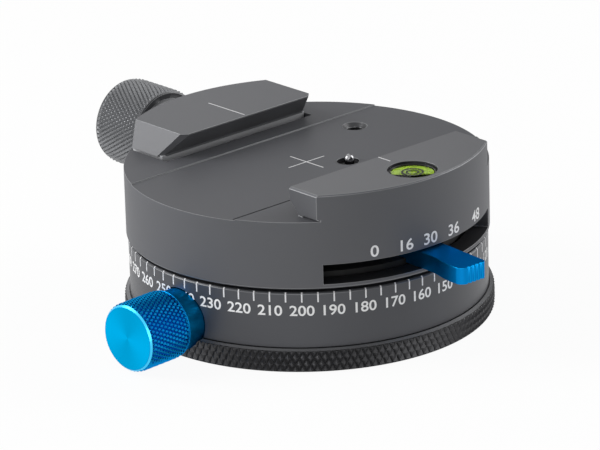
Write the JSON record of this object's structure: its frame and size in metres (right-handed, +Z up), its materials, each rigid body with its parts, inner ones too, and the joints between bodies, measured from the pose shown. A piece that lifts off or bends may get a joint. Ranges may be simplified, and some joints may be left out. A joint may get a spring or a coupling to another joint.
{
  "type": "panning plate",
  "caption": "Round panning plate for a tripod, with a dovetail rail clamp and bubble level on its turning top, a degree ring, a click-stop lever, a lock knob and a knurled base.",
  "frame": {"origin": "Centre of the clamp's deck floor, on the pan axis, 25.1 mm above the base", "axes": "+X runs along the clamp's jaws, +Y points from the fixed jaw to the movable jaw and its knob, +Z is up along the pan axis"},
  "size_m": [0.0723, 0.0856, 0.0297],
  "materials": {
    "anodised_grey": "fine blasted, hard anodised grey",
    "dark_ring": "satin anodised dark grey",
    "knurled_black": "diamond knurled, anodised black",
    "blue_anodised": "bright anodised blue",
    "steel": "turned bright steel",
    "black_steel": "blackened steel",
    "bronze": "plain bearing bronze",
    "white_polymer": "smooth low-friction polymer",
    "level_fluid": "clear yellow-green fluid",
    "clear_lens": "polished clear lens"
  },
  "bodies": {
    "base": {"base_plate": "knurled_black", "base_screw_1": "steel", "base_screw_2": "steel", "base_screw_3": "steel", "scale_ring": "dark_ring", "centre_post": "steel", "post_screw_1": "steel", "post_screw_2": "steel", "post_screw_3": "steel", "tripod_bush": "steel", "index_plate": "black_steel", "index_screw_1": "steel", "index_screw_2": "steel", "index_screw_3": "steel", "lock_guide": "anodised_grey", "guide_screw_1": "steel", "guide_screw_2": "steel", "upper_washer": "white_polymer", "lower_washer": "white_polymer", "bearing_sleeve": "bronze"},
    "rotor": {"turning_top": "anodised_grey", "brake_drum": "steel", "drum_screw_1": "steel", "drum_screw_2": "steel", "drum_screw_3": "steel", "guide_pin_left": "steel", "guide_pin_right": "steel", "jaw_spring_left": "steel", "jaw_spring_right": "steel", "level_cup": "dark_ring", "level_fluid": "level_fluid", "level_bubble": "clear_lens", "level_lens": "clear_lens", "stop_sleeve": "dark_ring", "stop_spring": "steel"},
    "selector": {"selector_disc": "black_steel", "lever": "blue_anodised", "lever_screw_1": "steel", "lever_screw_2": "steel"},
    "click_slider": {"click_slider": "bronze", "click_spring": "steel"},
    "click_plunger": {"click_plunger": "steel"},
    "stop_pin": {"stop_pin": "steel"},
    "jaw": {"movable_jaw": "anodised_grey"},
    "jaw_knob": {"jaw_knob": "knurled_black", "jaw_screw": "steel", "jaw_washer": "bronze"},
    "lock_shoe": {"lock_shoe": "bronze"},
    "lock_knob": {"lock_knob": "blue_anodised", "lock_stud": "steel"}
  },
  "joints": [
    {"name": "rotor_pan", "type": "hinge", "parent": "base", "child": "rotor", "pos_m": [0, 0, 0], "axis": [0, 0, 1], "continuous": true},
    {"name": "lock_travel", "type": "slide", "parent": "base", "child": "lock_shoe", "axis": [-0.999, -0.0454, 0], "range_m": [0, 0.0016]},
    {"name": "lock_turn", "type": "hinge", "parent": "lock_shoe", "child": "lock_knob", "pos_m": [0, 0, -0.01895], "axis": [-0.999, -0.0454, 0], "range_deg": [0, 720]},
    {"name": "jaw_slide", "type": "slide", "parent": "rotor", "child": "jaw", "axis": [0, 1, 0], "range_m": [-0.0015, 0.004], "deforming": ["jaw_spring_left", "jaw_spring_right"]},
    {"name": "jaw_knob_turn", "type": "hinge", "parent": "jaw", "child": "jaw_knob", "pos_m": [0, 0, -0.0033], "axis": [0, 1, 0], "range_deg": [-675, 1800]},
    {"name": "selector_turn", "type": "hinge", "parent": "rotor", "child": "selector", "pos_m": [0, 0, 0], "axis": [0, 0, 1], "range_deg": [-20.3, 23.4]},
    {"name": "click_shift", "type": "slide", "parent": "rotor", "child": "click_slider", "axis": [-1, 0, 0], "range_m": [-0.00321, 0.0037]},
    {"name": "click_plunge", "type": "slide", "parent": "click_slider", "child": "click_plunger", "axis": [0, 0, 1], "range_m": [-0.0004, 0], "stiffness_N_per_m": 200, "springref_m": -0.0004, "deforming": ["click_spring"]},
    {"name": "stop_pin_press", "type": "slide", "parent": "rotor", "child": "stop_pin", "axis": [0, 0, 1], "range_m": [-0.0012, 0], "stiffness_N_per_m": 300, "deforming": ["stop_spring"]}
  ],
  "couplings": [
    {"joint": "lock_turn", "follows": "lock_travel", "rad_per_m": 7854},
    {"joint": "jaw_knob_turn", "follows": "jaw_slide", "rad_per_m": 7854},
    {"joint": "click_shift", "follows": "selector_turn", "m_per_rad": 0.0090467}
  ]
}
